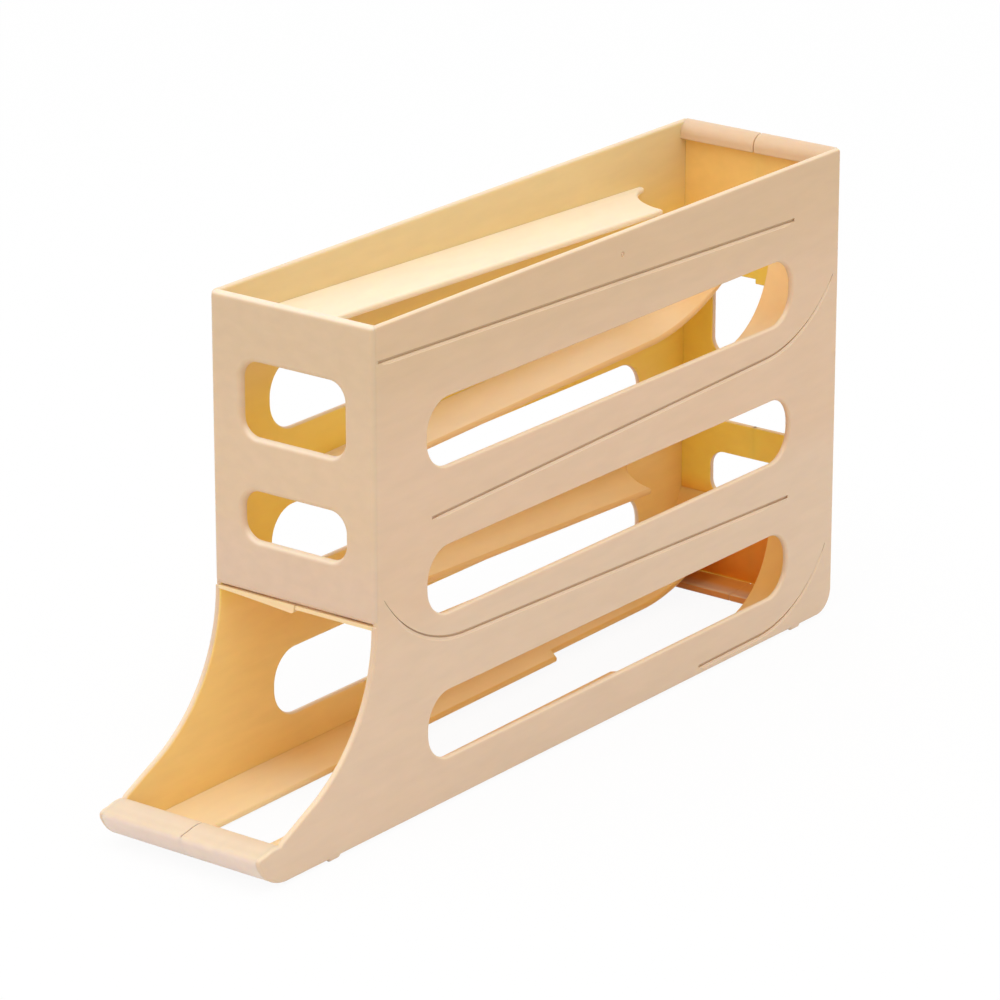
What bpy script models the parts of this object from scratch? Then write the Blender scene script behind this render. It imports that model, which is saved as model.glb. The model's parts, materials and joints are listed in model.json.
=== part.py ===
# A gravity fed egg rack: two side walls, four sloping tiers of paired strips, a windowed
# front panel, cross members joined on the centre plane, and a windowed back.
# Metres, +Z up. The tray opens towards -Y. Along the rack, places are distances from the
# front tip, because every piece hangs on an empty that stands at that tip.

import math

import bmesh
import bpy

# Overall size
length = 0.335
width = 0.070
height = 0.180

# Sheet, clearance between pieces that touch, and how far a cutter runs past its piece
wall_thickness = 0.0024
clearance = 0.0003
edge_rounding = 0.0005
overrun = 0.002
arc_tolerance = 0.00003
weld_distance = 0.000001
sharp_angle = math.radians(15)

# Side wall: feet, tray tip, throat above the tray, back corner
base_height = 0.0009
foot_length = 0.0065
foot_inset = 0.00035
front_foot = 0.040
rear_foot_margin = 0.0235
tip_height = 0.0133
front_radius = 0.016
throat_radius = 0.0584
corner_radius = 0.0015
rear_radius = 0.009

# Side wall: three long slots and the shallow lines that follow the tracks
slot_front = 0.091
slot_rear_margin = 0.030
slot_height = 0.0242
slot_radius = 0.0113
lowest_slot = 0.0292
highest_slot_drop = 0.046
slot_count = 3
line_height = 0.0012
line_depth = 0.0007
line_end = 0.0024
lowest_line_margin = 0.086

# Front panel and its two windows
panel_front = 0.0625
panel_thickness = 0.0027
panel_bottom = 0.076
panel_rounding = 0.0007
panel_corner = 0.001
window_width = 0.044
upper_window_height = 0.0265
upper_window_over_slot = 0.01075
upper_window_radius = 0.008
lower_window_height = 0.0175
lower_window_over_slot = 0.02215
lower_window_radius = 0.0075

# Cross rail under the front panel
rail_height = 0.0025

# Lip at the front of the tray
lip_thickness = 0.002
lip_tip_height = 0.0128
lip_nose_radius = 0.002
lip_nose_reach = 0.003
lip_depth = 0.0125
lip_rear_height = 0.0142
lip_crown = 0.0008
lip_tongue_length = 0.0042
lip_tongue_depth = 0.003

# Tracks: the strips of one tier, mirrored left and right
track_thickness = 0.0024
track_gap = 0.019
scoop_radius = 0.022
trough_depth = 0.0127
track_1_rear_margin = 0.027
track_1_tilt = math.radians(-1.86)
track_2_over_slot = 0.024
track_2_front = 0.092
track_2_tilt = math.radians(1.61)
track_2_bend_margin = 0.046
track_2_radius = 0.055
track_2_bend_gap = 0.024
track_3_over_slot = 0.0307
track_3_bend = 0.111
track_3_rear_margin = 0.028
track_3_tilt = math.radians(-1.78)
track_3_radius = 0.055
track_4_tilt = math.radians(0.49)
track_4_bend_margin = 0.0475
track_4_radius = 0.050
track_4_step_margin = 0.122
track_4_rear_gap = 0.028

# Back: half plates with half windows, rolled top rim, sill at the foot
back_thickness = 0.0024
back_window_width = 0.0386
back_window_radius = 0.006
back_corner_radius = 0.0045
back_foot_height = 0.036
back_top_height = 0.056
back_bar_heights = (0.0126, 0.009)
back_window_shares = (0.262, 0.256, 0.482)
back_tongue_length = 0.0035
back_tongue_start = 0.004
back_tongue_drop = 0.0018
back_tongue_rise = 0.0022
rim_thickness = 0.002
rim_depth = 0.0058
rim_height = 0.0066
rim_radius = 0.0045
sill_depth = 0.014
sill_height = 0.003

# What follows from the values above
half_width = width / 2
inner_half = half_width - wall_thickness
piece_half = inner_half - clearance
seam_half = clearance / 2
panel_back = panel_front + panel_thickness
wall_front = panel_back + clearance
back_face = length - back_thickness
behind_reach = back_face - clearance
front_centre_height = base_height + front_radius
tip_angle = math.asin((front_centre_height - tip_height) / front_radius)
front_centre = (front_radius * math.cos(tip_angle), front_centre_height)
rail_top = panel_bottom - clearance
rail_bottom = rail_top - rail_height
tier_pitch = (height - highest_slot_drop - lowest_slot) / (slot_count - 1)
slot_back = length - slot_rear_margin
track_2_bend = length - track_2_bend_margin
full_turn = 2 * math.pi


def clear_scene():
    for item in list(bpy.data.objects):
        bpy.data.objects.remove(item, do_unlink=True)


def new_collection(name):
    collection = bpy.data.collections.new(name)
    bpy.context.scene.collection.children.link(collection)
    return collection


def plastic(name, colour, roughness):
    material = bpy.data.materials.new(name)
    material.use_nodes = True
    shader = material.node_tree.nodes["Principled BSDF"]
    shader.inputs["Base Color"].default_value = (*colour, 1)
    shader.inputs["Roughness"].default_value = roughness
    shader.inputs["Metallic"].default_value = 0
    material.diffuse_color = (*colour, 1)
    return material


# Outlines are lists of (along, up) points. Angles run anticlockwise from the first axis.


def arc(centre, radius, start, end):
    turn = end - start
    facet = 2 * math.acos(1 - min(arc_tolerance / radius, 1))
    steps = max(2, math.ceil(abs(turn) / facet))
    angles = [start + turn * step / steps for step in range(steps + 1)]
    return [(centre[0] + radius * math.cos(a), centre[1] + radius * math.sin(a)) for a in angles]


def bulge(start, end, rise):
    # A shallow arc from start to end that stands rise above its chord, for start left of end
    across = end[0] - start[0]
    up = end[1] - start[1]
    chord = math.hypot(across, up)
    radius = (chord * chord / 4 + rise * rise) / (2 * rise)
    drop = radius - rise
    centre = ((start[0] + end[0]) / 2 + up / chord * drop, (start[1] + end[1]) / 2 - across / chord * drop)
    first = math.atan2(start[1] - centre[1], start[0] - centre[0])
    last = math.atan2(end[1] - centre[1], end[0] - centre[0])
    return arc(centre, radius, first, last)


def rounded(corners):
    # Each corner is (along, up, radius). A radius of zero keeps the corner sharp.
    points = []
    for index, (along, up, radius) in enumerate(corners):
        if radius == 0:
            points.append((along, up))
            continue
        before = corners[index - 1]
        after = corners[(index + 1) % len(corners)]
        into = (before[0] - along, before[1] - up)
        out = (after[0] - along, after[1] - up)
        into_angle = math.atan2(into[1], into[0])
        out_angle = math.atan2(out[1], out[0])
        opening = (out_angle - into_angle) % full_turn
        left_turn = opening > math.pi
        half = (full_turn - opening) / 2 if left_turn else opening / 2
        middle = into_angle - half if left_turn else into_angle + half
        reach = radius / math.sin(half)
        centre = (along + reach * math.cos(middle), up + reach * math.sin(middle))
        turn = math.pi - 2 * half
        start = into_angle - math.pi / 2 if not left_turn else into_angle + math.pi / 2
        points += arc(centre, radius, start, start + turn if left_turn else start - turn)
    return points


def rounded_rectangle(low, high, radius):
    return rounded([
        (low[0], low[1], radius),
        (high[0], low[1], radius),
        (high[0], high[1], radius),
        (low[0], high[1], radius),
    ])


def flat_curve(name, outlines, thickness, rounding):
    curve = bpy.data.curves.new(name, "CURVE")
    curve.dimensions = "2D"
    curve.fill_mode = "BOTH"
    curve.extrude = thickness / 2 - rounding
    curve.bevel_depth = rounding
    curve.bevel_resolution = 1
    curve.offset = -rounding
    for points in outlines:
        spline = curve.splines.new("POLY")
        spline.points.add(len(points) - 1)
        for point, (along, up) in zip(spline.points, points):
            point.co = (along, up, 0, 1)
        spline.use_cyclic_u = True
    return bpy.data.objects.new(name, curve)


def as_mesh(flat, collection, base):
    # Turns a flat curve into a mesh with welded caps that hangs on the base empty
    collection.objects.link(flat)
    bpy.context.view_layer.update()
    evaluated = flat.evaluated_get(bpy.context.evaluated_depsgraph_get())
    mesh = bpy.data.meshes.new_from_object(evaluated)
    shape = bmesh.new()
    shape.from_mesh(mesh)
    bmesh.ops.remove_doubles(shape, verts=shape.verts, dist=weld_distance)
    bmesh.ops.recalc_face_normals(shape, faces=shape.faces)
    shape.to_mesh(mesh)
    shape.free()
    name = flat.name
    placed = flat.matrix_world.copy()
    bpy.data.objects.remove(flat, do_unlink=True)
    item = bpy.data.objects.new(name, mesh)
    item.matrix_world = placed
    collection.objects.link(item)
    item.parent = base
    return item


def side_plate(name, outlines, left, right, rounding, collection, base):
    # Outlines of (distance from the tip, height), spread from x = left to x = right
    flat = flat_curve(name, outlines, right - left, rounding)
    flat.rotation_euler = (math.pi / 2, 0, math.pi / 2)
    flat.location = ((left + right) / 2, 0, 0)
    return as_mesh(flat, collection, base)


def cross_plate(name, outlines, front, back, rounding, collection, base):
    # Outlines of (x, height), spread from one distance from the tip to another
    flat = flat_curve(name, outlines, back - front, rounding)
    flat.rotation_euler = (math.pi / 2, 0, 0)
    flat.location = (0, (front + back) / 2, 0)
    return as_mesh(flat, collection, base)


def floor_plate(name, outlines, low, high, collection, base):
    # Outlines of (x, distance from the tip), spread from one height to another
    flat = flat_curve(name, outlines, high - low, 0)
    flat.location = (0, 0, (low + high) / 2)
    return as_mesh(flat, collection, base)


def finish(item, material):
    item.data.materials.clear()
    item.data.materials.append(material)
    item.data.shade_smooth()
    item.data.set_sharp_from_angle(angle=sharp_angle)


def combine(item, tool, operation):
    tool.hide_render = True
    tool.display_type = "WIRE"
    boolean = item.modifiers.new(tool.name, "BOOLEAN")
    boolean.operation = operation
    boolean.solver = "EXACT"
    boolean.object = tool


def cut(item, tool):
    combine(item, tool, "DIFFERENCE")


def mirrored(points, side):
    # Outlines with x first, for the left (-1) or right (+1) of a pair, always anticlockwise
    if side > 0:
        return points
    return [(-x, up) for x, up in reversed(points)]


def span(side, near, far):
    # The x range between two distances from the centre plane on one side
    return (near, far) if side > 0 else (-far, -near)


# A track's side view: a straight run with an upward bend at one end. All places come from the
# middle of the strip, offset upwards or downwards by half its thickness.


class Track:
    def __init__(self, level, tilt, front, back, gap=track_gap, bend=None, radius=None, bend_front=False):
        self.level = level
        self.tilt = tilt
        self.front = front
        self.back = back
        self.gap = gap
        self.bend = bend
        self.radius = radius
        self.bend_front = bend_front
        self.start = bend if bend_front else front

    def height(self, along, offset=0):
        return self.level + (along - self.start) * math.tan(self.tilt) + offset / math.cos(self.tilt)

    def centre(self):
        return (
            self.bend - self.radius * math.sin(self.tilt),
            self.height(self.bend) + self.radius * math.cos(self.tilt),
        )

    def bend_points(self, offset, end):
        # From the bend's foot to the place where it reaches the distance end from the tip
        centre = self.centre()
        radius = self.radius - offset
        foot = self.tilt - math.pi / 2
        reach = (end - centre[0]) / radius
        return arc(centre, radius, foot, -math.acos(reach))

    def side(self, offset, front, back):
        # The points of one face, from the front to the back
        if self.bend is None:
            return [(front, self.height(front, offset)), (back, self.height(back, offset))]
        if self.bend_front:
            points = self.bend_points(offset, front)
            points.reverse()
            return points + [(back, self.height(back, offset))]
        return [(front, self.height(front, offset))] + self.bend_points(offset, back)

    def band(self, thickness, front, back):
        lower = self.side(-thickness / 2, front, back)
        upper = self.side(thickness / 2, front, back)
        return lower + upper[::-1]


tracks = {
    "track_1": Track(height - trough_depth, track_1_tilt, wall_front, length - track_1_rear_margin),
    "track_2": Track(
        lowest_slot + tier_pitch + track_2_over_slot, track_2_tilt, track_2_front, behind_reach,
        bend=track_2_bend, radius=track_2_radius,
    ),
    "track_3": Track(
        lowest_slot + track_3_over_slot, track_3_tilt, wall_front, length - track_3_rear_margin,
        bend=track_3_bend, radius=track_3_radius, bend_front=True,
    ),
    "track_4": Track(
        base_height + track_thickness / 2, track_4_tilt, front_centre[0] + clearance, behind_reach,
        bend=length - track_4_bend_margin, radius=track_4_radius,
    ),
}


def wall_outline():
    # Anticlockwise from the tip: nose, rear corner, top, panel seat, throat, tray slope
    throat_centre = (panel_front - throat_radius, rail_top)
    from_centre = (-throat_centre[0], tip_height - throat_centre[1])
    distance = math.hypot(*from_centre)
    tangent = math.atan2(from_centre[1], from_centre[0]) + math.acos(throat_radius / distance)
    points = arc(front_centre, front_radius, math.pi + tip_angle, 3 * math.pi / 2)
    points += arc((length - rear_radius, base_height + rear_radius), rear_radius, -math.pi / 2, 0)
    points += arc((length - corner_radius, height - corner_radius), corner_radius, 0, math.pi / 2)
    points += [(wall_front, height), (wall_front, rail_top)]
    points += arc(throat_centre, throat_radius, 0, tangent)
    return points


def slot_outline(index):
    middle = lowest_slot + index * tier_pitch
    low = (slot_front, middle - slot_height / 2)
    high = (slot_back, middle + slot_height / 2)
    return rounded_rectangle(low, high, slot_radius)[::-1]


def line_outlines():
    return [
        tracks["track_1"].band(line_height, wall_front - overrun, tracks["track_1"].back - line_end),
        tracks["track_2"].band(line_height, track_2_front, behind_reach),
        tracks["track_3"].band(line_height, wall_front - overrun, tracks["track_3"].back - line_end),
        tracks["track_4"].band(line_height, length - lowest_line_margin, behind_reach - line_end),
    ]


def foot_outline(middle):
    # A low block under the wall's lower edge, with sloped ends
    low = foot_length / 2 - base_height
    high = foot_length / 2
    inside = base_height + wall_thickness
    return [
        (middle - low, 0),
        (middle + low, 0),
        (middle + high, base_height),
        (middle + high, inside),
        (middle - high, inside),
        (middle - high, base_height),
    ]


def side_wall(name, side, parts, cutters, base, material):
    outlines = [wall_outline()] + [slot_outline(index) for index in range(slot_count)]
    left, right = span(side, inner_half, half_width)
    wall = side_plate(name, outlines, left, right, edge_rounding, parts, base)
    left, right = span(side, half_width - line_depth, half_width + overrun)
    lines = side_plate(name + "_lines", line_outlines(), left, right, 0, cutters, base)
    cut(wall, lines)
    left, right = span(side, inner_half + foot_inset, half_width - foot_inset)
    outlines = [foot_outline(front_foot), foot_outline(length - rear_foot_margin)]
    feet = side_plate(name + "_feet", outlines, left, right, 0, cutters, base)
    combine(wall, feet, "UNION")
    finish(wall, material)


def track_strip(name, track, side, parts, base, material):
    left, right = span(side, track.gap / 2, piece_half)
    outline = track.band(track_thickness, track.front, track.back)
    strip = side_plate(name, [outline], left, right, edge_rounding, parts, base)
    finish(strip, material)
    return strip


def scoop(strip, track, side, along, cutters, base):
    # The hollowed end over which the eggs drop to the tier below
    middle = (side * track.gap / 2, along)
    circle = arc(middle, scoop_radius, 0, full_turn)[:-1]
    level = track.height(along)
    tool = floor_plate(
        strip.name + "_scoop", [circle], level - scoop_radius, level + scoop_radius, cutters, base,
    )
    cut(strip, tool)


def widen(strip, track, side, along, gap, cutters, base):
    # Sets the inner edge back from one place to the rear end
    left, right = span(side, -overrun, gap / 2)
    corners = [(along, -overrun), (length, -overrun), (length, height), (along, height)]
    tool = side_plate(strip.name + "_step", [corners], left, right, 0, cutters, base)
    cut(strip, tool)


def panel_window(middle, tall, radius):
    low = (-window_width / 2, middle - tall / 2)
    high = (window_width / 2, middle + tall / 2)
    return rounded_rectangle(low, high, radius)[::-1]


def front_panel(parts, base, material):
    outer = rounded_rectangle((-half_width, panel_bottom), (half_width, height), panel_corner)
    upper_middle = lowest_slot + 2 * tier_pitch + upper_window_over_slot
    lower_middle = lowest_slot + tier_pitch + lower_window_over_slot
    upper = panel_window(upper_middle, upper_window_height, upper_window_radius)
    lower = panel_window(lower_middle, lower_window_height, lower_window_radius)
    outlines = [outer, upper, lower]
    panel = cross_plate("front_panel", outlines, panel_front, panel_back, panel_rounding, parts, base)
    finish(panel, material)


def front_rail(name, side, parts, base, material):
    # The bar under the panel. Its rear face follows the underside of the third tier's bend.
    bend = tracks["track_3"].centre()
    radius = track_3_radius + track_thickness / 2 + clearance
    low_turn = math.pi + math.asin((bend[1] - rail_bottom) / radius)
    high_turn = math.pi + math.asin((bend[1] - rail_top) / radius)
    outline = [(panel_front, rail_top), (panel_front, rail_bottom)] + arc(bend, radius, low_turn, high_turn)
    left, right = span(side, seam_half, piece_half)
    rail = side_plate(name, [outline], left, right, edge_rounding, parts, base)
    finish(rail, material)


def lip_outline():
    # A rolled edge, open at the rear: a front shell with a crowned flange over the tray
    nose_low = lip_tip_height - lip_nose_reach
    outer_turn = math.pi + math.asin((front_centre_height - nose_low) / front_radius)
    tip_turn = math.pi + math.asin((front_centre_height - lip_tip_height) / front_radius)
    tip = (front_centre[0] + front_radius * math.cos(tip_turn), lip_tip_height)
    inner_radius = front_radius - lip_thickness
    shoulder = lip_tip_height - lip_thickness
    inner_turn = math.pi + math.asin((front_centre_height - shoulder) / inner_radius)
    outer = arc(front_centre, front_radius, outer_turn, 3 * math.pi / 2)
    inner = arc(front_centre, inner_radius, 3 * math.pi / 2, inner_turn)
    rear_low = (lip_depth, lip_rear_height - lip_thickness)
    rear_high = (lip_depth, lip_rear_height)
    under = bulge(inner[-1], rear_low, lip_crown)
    top = bulge((tip[0] + lip_nose_reach, lip_tip_height), rear_high, lip_crown)
    nose = rounded([(*top[0], 0), (*tip, lip_nose_radius), (*outer[0], 0)])
    return outer + inner + under[1:] + top[::-1] + nose[1:-1]


def lip(name, side, parts, cutters, base, material):
    # The right half reaches past the centre plane with a tongue at its rear edge
    tongue = side > 0
    near = -lip_tongue_length if tongue else seam_half
    left, right = span(side, near, piece_half)
    bar = side_plate(name, [lip_outline()], left, right, edge_rounding, parts, base)
    tongue_front = lip_depth - lip_tongue_depth
    low = (-overrun, -overrun)
    high = (front_centre[0] + overrun, lip_rear_height - lip_thickness - overrun)
    if tongue:
        left, right = -lip_tongue_length - overrun, seam_half
        waste = [low, (high[0], low[1]), high, (tongue_front, high[1])]
        waste += [(tongue_front, height), (-overrun, height)]
    else:
        left, right = -lip_tongue_length - clearance, overrun
        waste = [(tongue_front - clearance, high[1]), high, (high[0], height)]
        waste += [(tongue_front - clearance, height)]
    cut(bar, side_plate(name + "_seam", [waste], left, right, 0, cutters, base))
    finish(bar, material)


def back_window_spans():
    # The windows share what the foot, the bars and the closed top leave of the height
    free = height - back_top_height - back_foot_height - sum(back_bar_heights)
    spans = []
    low = back_foot_height
    for share, bar in zip(back_window_shares, (*back_bar_heights, 0)):
        spans.append((low, low + share * free))
        low += share * free + bar
    return spans


def back_outline(side):
    # From the centre plane: the flange's outer edge, then down past the half windows
    plate_top = height - rim_thickness - clearance
    half_window = back_window_width / 2
    corners = [(seam_half, base_height, 0), (piece_half, base_height, back_corner_radius)]
    corners += [(piece_half, plate_top, 0), (seam_half, plate_top, 0)]
    for index, (low, high) in enumerate(reversed(back_window_spans())):
        if index == 0:
            corners += tongue_corners(side, high)
        else:
            corners.append((seam_half, high, 0))
        radius = min(back_window_radius, (high - low) / 2 - edge_rounding)
        corners.append((half_window, high, radius))
        corners.append((half_window, low, radius))
        corners.append((seam_half, low, 0))
    return rounded(corners)


def tongue_corners(side, level):
    # The right half's tongue crosses the centre plane into a notch in the left half
    if side > 0:
        return [
            (seam_half, level + back_tongue_rise, 0),
            (-back_tongue_length, level + back_tongue_rise, 0),
            (-back_tongue_length, level - back_tongue_drop, 0),
            (back_tongue_start, level - back_tongue_drop, 0),
            (back_tongue_start, level, 0),
        ]
    return [
        (seam_half, level + back_tongue_rise + clearance, 0),
        (back_tongue_length + clearance, level + back_tongue_rise + clearance, 0),
        (back_tongue_length + clearance, level, 0),
    ]


def back_plate(name, side, parts, base, material):
    outline = mirrored(back_outline(side), side)
    plate = cross_plate(name, [outline], back_face, length, edge_rounding, parts, base)
    finish(plate, material)


def back_rim(name, side, parts, base, material):
    # A rolled rim, open below, that covers the plate's top edge
    centre = (length - rim_depth + rim_radius, height - rim_radius)
    front = length - rim_depth
    low = height - rim_height
    outer = arc(centre, rim_radius, math.pi / 2, math.pi)
    inner = arc(centre, rim_radius - rim_thickness, math.pi, math.pi / 2)
    outline = [(length, height)] + outer + [(front, low), (front + rim_thickness, low)] + inner
    outline.append((length, height - rim_thickness))
    left, right = span(side, seam_half, piece_half)
    rim = side_plate(name, [outline], left, right, edge_rounding, parts, base)
    finish(rim, material)


def rear_sill(name, side, parts, base, material):
    low = (behind_reach - sill_depth, base_height)
    high = (behind_reach, base_height + sill_height)
    outline = [low, (high[0], low[1]), high, (low[0], high[1])]
    left, right = span(side, seam_half, piece_half)
    sill = side_plate(name, [outline], left, right, edge_rounding, parts, base)
    finish(sill, material)


def build():
    clear_scene()
    parts = new_collection("rolling_egg_dispenser")
    cutters = new_collection("cutters")
    base = bpy.data.objects.new("front_tip", None)
    base.location = (0, -length / 2, 0)
    parts.objects.link(base)

    wall_cream = plastic("wall_cream", (0.71, 0.50, 0.33), 0.45)
    panel_cream = plastic("panel_cream", (0.69, 0.49, 0.33), 0.45)
    track_tan = plastic("track_tan", (0.80, 0.55, 0.30), 0.42)
    lip_cream = plastic("lip_cream", (0.78, 0.57, 0.36), 0.42)
    rail_cream = plastic("rail_cream", (0.78, 0.57, 0.36), 0.42)
    back_tan = plastic("back_tan", (0.70, 0.42, 0.18), 0.45)

    front_panel(parts, base, panel_cream)
    for word, side in (("left", -1), ("right", 1)):
        side_wall("side_wall_" + word, side, parts, cutters, base, wall_cream)
        for name, track in tracks.items():
            strip = track_strip(name + "_" + word, track, side, parts, base, track_tan)
            if name in ("track_1", "track_3"):
                scoop(strip, track, side, track.back, cutters, base)
            if name == "track_2":
                scoop(strip, track, side, track.front, cutters, base)
                widen(strip, track, side, track_2_bend, track_2_bend_gap, cutters, base)
            if name == "track_4":
                widen(strip, track, side, length - track_4_step_margin, track_4_rear_gap, cutters, base)
        front_rail("front_rail_" + word, side, parts, base, rail_cream)
        lip("lip_" + word, side, parts, cutters, base, lip_cream)
        back_plate("back_plate_" + word, side, parts, base, back_tan)
        back_rim("back_rim_" + word, side, parts, base, rail_cream)
        rear_sill("rear_sill_" + word, side, parts, base, back_tan)


build()
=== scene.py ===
import json
import math

import bmesh
import bpy
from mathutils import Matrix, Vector

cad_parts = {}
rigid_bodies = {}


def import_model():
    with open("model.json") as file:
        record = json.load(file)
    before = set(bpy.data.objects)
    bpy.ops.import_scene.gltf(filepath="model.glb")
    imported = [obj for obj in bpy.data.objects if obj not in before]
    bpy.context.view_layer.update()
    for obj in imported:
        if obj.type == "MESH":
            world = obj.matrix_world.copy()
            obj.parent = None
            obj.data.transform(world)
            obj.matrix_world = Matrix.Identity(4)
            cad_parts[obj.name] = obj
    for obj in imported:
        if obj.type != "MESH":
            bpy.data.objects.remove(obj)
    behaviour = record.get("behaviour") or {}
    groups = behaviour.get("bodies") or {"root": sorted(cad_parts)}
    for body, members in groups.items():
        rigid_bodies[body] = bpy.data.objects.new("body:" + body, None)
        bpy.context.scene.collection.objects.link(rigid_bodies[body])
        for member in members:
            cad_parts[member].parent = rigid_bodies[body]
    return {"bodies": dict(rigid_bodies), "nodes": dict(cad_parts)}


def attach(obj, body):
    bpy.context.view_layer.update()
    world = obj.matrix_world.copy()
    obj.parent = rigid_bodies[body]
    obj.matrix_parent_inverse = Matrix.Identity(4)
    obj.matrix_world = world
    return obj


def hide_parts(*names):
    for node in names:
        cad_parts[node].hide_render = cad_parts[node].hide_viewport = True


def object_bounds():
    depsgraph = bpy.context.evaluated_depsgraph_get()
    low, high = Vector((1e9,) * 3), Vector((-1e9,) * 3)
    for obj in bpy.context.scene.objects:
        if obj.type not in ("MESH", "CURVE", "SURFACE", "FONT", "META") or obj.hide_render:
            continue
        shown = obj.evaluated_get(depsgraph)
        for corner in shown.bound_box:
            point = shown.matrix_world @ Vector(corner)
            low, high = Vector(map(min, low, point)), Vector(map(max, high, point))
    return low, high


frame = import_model()
cadLow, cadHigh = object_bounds()
body = next(iter(frame["bodies"]))
print("packed model loaded with", len(frame["nodes"]), "nodes")

rack = {
    "tip": cadLow.y,  # the front tip, from which places along the rack are counted
    "length": cadHigh.y - cadLow.y,
    "height": cadHigh.z,
    "half": cadHigh.x,
    "sheet": 0.0024,  # side walls
    "gap": 0.0003,  # between pieces that touch
    "base": 0.0009,  # underside of the walls, above the feet
    "slotRow": 0.0292,  # middle of the lowest slot
    "slotPitch": 0.0524,
    "into": 0.001,  # pieces between the walls run so far into them, so that no gap shows
    "backStop": 0.0027,  # what is inside meets the back plates so far from the rear
}
inner = rack["half"] - rack["sheet"]
reach = inner + rack["into"]
behind = rack["length"] - rack["backStop"]
sides = ((-1, "Left"), (1, "Right"))
tolerance = {"weld": 0.000002, "plane": 0.000001, "point": 0.00001}


# Outlines: lists of (along, up) points, turning anticlockwise

def arcPoints(centre, radius, start, end, step=4.0):
    count = max(2, math.ceil(abs(end - start) / step))
    turns = [math.radians(start + (end - start) * i / count) for i in range(count + 1)]
    return [(centre[0] + radius * math.cos(t), centre[1] + radius * math.sin(t)) for t in turns]


def softCorners(corners):
    # (along, up, radius) for each corner, and a radius of zero keeps it sharp
    points = []
    for i, (along, up, radius) in enumerate(corners):
        if radius == 0:
            points.append((along, up))
            continue
        before, after = corners[i - 1], corners[(i + 1) % len(corners)]
        toBefore = math.atan2(before[1] - up, before[0] - along)
        toAfter = math.atan2(after[1] - up, after[0] - along)
        opening = (toAfter - toBefore) % (2 * math.pi)
        left = opening > math.pi
        half = (2 * math.pi - opening) / 2 if left else opening / 2
        middle = toBefore - half if left else toBefore + half
        away = radius / math.sin(half)
        centre = (along + away * math.cos(middle), up + away * math.sin(middle))
        start = toBefore + (math.pi / 2 if left else -math.pi / 2)
        turn = math.pi - 2 * half
        end = start + turn if left else start - turn
        points += arcPoints(centre, radius, math.degrees(start), math.degrees(end))
    return points


def softBox(low, high, radius):
    return softCorners([(low[0], low[1], radius), (high[0], low[1], radius),
                        (high[0], high[1], radius), (low[0], high[1], radius)])


def mirrorOutline(points):
    return [(-x, up) for x, up in reversed(points)]


def pathLength(points):
    return sum(math.dist(a, b) for a, b in zip(points, points[1:]))


def evenRows(start, end, count):
    return [start + (end - start) * i / max(count, 1) for i in range(count + 1)]


# Sheet pieces: a filled outline with rounded edges, first flat, then set in its place

def flatSheet(name, outlines, thickness, rounding, segments=3, material=None):
    curve = bpy.data.curves.new(name, "CURVE")
    curve.dimensions = "2D"
    curve.fill_mode = "BOTH"
    curve.extrude = thickness / 2 - rounding
    curve.bevel_depth = rounding
    curve.bevel_resolution = segments
    curve.offset = -rounding
    for outline in outlines:
        spline = curve.splines.new("POLY")
        spline.points.add(len(outline) - 1)
        for point, (along, up) in zip(spline.points, outline):
            point.co = (along, up, 0, 1)
        spline.use_cyclic_u = True
    if material:
        curve.materials.append(material)
    mesh = meshOf(bpy.data.objects.new(name, curve))
    bpy.data.curves.remove(curve)
    return welded(mesh)


def meshOf(item):
    # what an object shows with its modifiers, as a plain mesh, and the object goes
    bpy.context.scene.collection.objects.link(item)
    bpy.context.view_layer.update()
    seen = item.evaluated_get(bpy.context.evaluated_depsgraph_get())
    mesh = bpy.data.meshes.new_from_object(seen)
    bpy.data.objects.remove(item, do_unlink=True)
    return mesh


def welded(mesh):
    work = bmesh.new()
    work.from_mesh(mesh)
    bmesh.ops.remove_doubles(work, verts=work.verts, dist=tolerance["weld"])
    bmesh.ops.recalc_face_normals(work, faces=work.faces)
    work.to_mesh(mesh)
    work.free()
    return mesh


def moved(mesh, place):
    for vertex in mesh.vertices:
        vertex.co = place(*vertex.co)
    return welded(mesh)


def acrossRack(middle):
    # outline as (x, up), thickness along the rack
    return lambda u, v, w: (u, rack["tip"] + middle - w, v)


def alongRack(middle):
    # outline as (along, up), thickness across the rack
    return lambda u, v, w: (middle + w, rack["tip"] + u, v)


def crossed(work, axis, place, **settings):
    # cuts all faces along one plane, square to x, y or z
    way = [float(number == axis) for number in range(3)]
    whole = work.verts[:] + work.edges[:] + work.faces[:]
    return bmesh.ops.bisect_plane(
        work, geom=whole, plane_co=[place * part for part in way], plane_no=way, **settings)


def sliced(mesh, axis, places):
    # extra rows, so that a flat sheet can bend
    work = bmesh.new()
    work.from_mesh(mesh)
    for place in places:
        crossed(work, axis, place, dist=tolerance["plane"])
    work.to_mesh(mesh)
    work.free()
    return mesh


def trimmed(mesh, along, **cleared):
    # cuts off what lies on one side of a place along the rack, and closes the cut
    work = bmesh.new()
    work.from_mesh(mesh)
    made = crossed(work, 1, rack["tip"] + along, **cleared)
    rim = [edge for edge in made["geom_cut"] if isinstance(edge, bmesh.types.BMEdge)]
    bmesh.ops.holes_fill(work, edges=rim, sides=0)
    work.to_mesh(mesh)
    work.free()
    return welded(mesh)


def carved(mesh, cutters):
    # takes closed cutter meshes out of a mesh
    item = bpy.data.objects.new("carving", mesh)
    tools = []
    for number, cutter in enumerate(cutters):
        tool = bpy.data.objects.new("cutter" + str(number), cutter)
        bpy.context.scene.collection.objects.link(tool)
        take = item.modifiers.new(tool.name, "BOOLEAN")
        take.operation = "DIFFERENCE"
        take.solver = "EXACT"
        take.material_mode = "TRANSFER"
        take.object = tool
        tools.append(tool)
    result = meshOf(item)
    for tool in tools:
        bpy.data.objects.remove(tool, do_unlink=True)
    return welded(result)


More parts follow.
